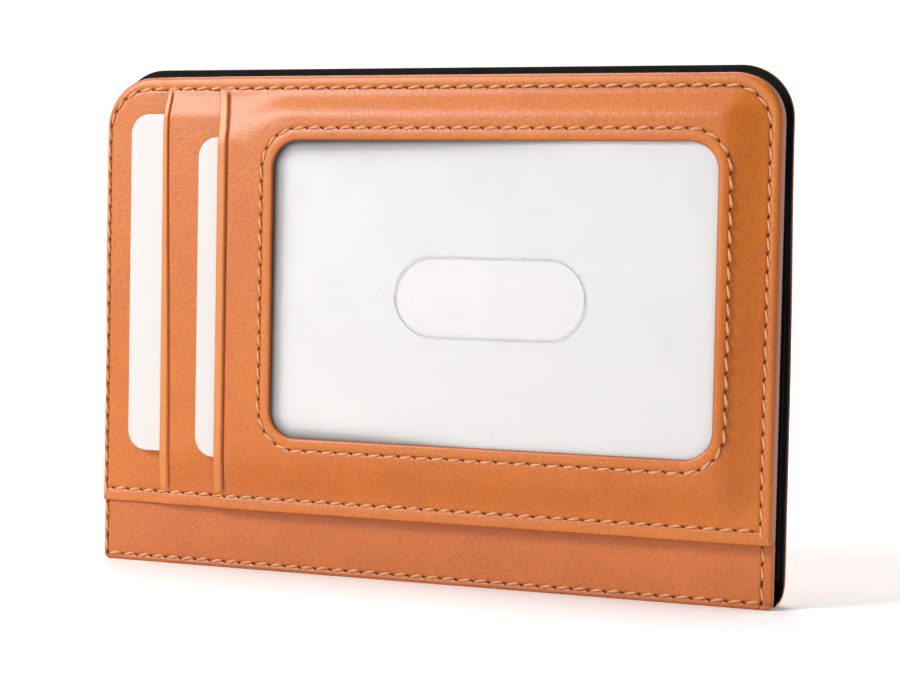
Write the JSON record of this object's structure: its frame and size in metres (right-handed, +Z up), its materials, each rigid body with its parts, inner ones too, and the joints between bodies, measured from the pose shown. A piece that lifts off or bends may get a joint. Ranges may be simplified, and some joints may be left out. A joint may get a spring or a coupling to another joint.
{
  "type": "slim card holder",
  "caption": "Slim bifold leather card holder, upright on its fold, with two side card slots, a clear window with a thumb slot, and sliding cards.",
  "frame": {"origin": "on the ground, under the middle of the bounding box of the closed holder standing on its fold", "axes": "+X along the fold to the right as seen from the pocket face, +Y from the pocket face to the back, +Z up"},
  "size_m": [0.1122, 0.0104, 0.0798],
  "materials": {
    "tan_leather": "smooth semi-matt tan leather with a fine grain",
    "strip_leather": "smooth semi-matt tan leather, slightly redder",
    "black_lining": "matt black lining",
    "board": "plain grey-brown board",
    "card": "blank white card, satin",
    "clear_film": "clear soft film",
    "thread": "waxed thread, light tan"
  },
  "bodies": {
    "spine": {"spine_cover": "strip_leather", "spine_lining": "black_lining", "spine_thread": "thread"},
    "front_leaf": {"front_cover": "strip_leather", "front_board": "board", "front_lining": "black_lining", "pocket_base": "tan_leather", "pocket_middle": "tan_leather", "window_panel": "tan_leather", "window_film": "clear_film", "front_thread": "thread", "lower_thread": "thread", "window_thread": "thread"},
    "back_leaf": {"back_cover": "tan_leather", "back_board": "board", "back_lining": "black_lining", "inner_pocket": "black_lining", "back_thread": "thread"},
    "card_base": {"card_base": "card"},
    "card_window": {"card_window": "card"}
  },
  "joints": [
    {"name": "front_fold", "type": "hinge", "parent": "spine", "child": "front_leaf", "pos_m": [0, -0.00128, 0.0039], "axis": [1, 0, 0], "range_deg": [0, 90]},
    {"name": "back_fold", "type": "hinge", "parent": "spine", "child": "back_leaf", "pos_m": [0, 0.00415, 0.00103], "axis": [-1, 0, 0], "range_deg": [0, 90]},
    {"name": "card_base_slide", "type": "slide", "parent": "front_leaf", "child": "card_base", "axis": [-1, 0, 0], "range_m": [0, 0.075]},
    {"name": "card_window_slide", "type": "slide", "parent": "front_leaf", "child": "card_window", "axis": [-1, 0, 0], "range_m": [0, 0.077]}
  ]
}
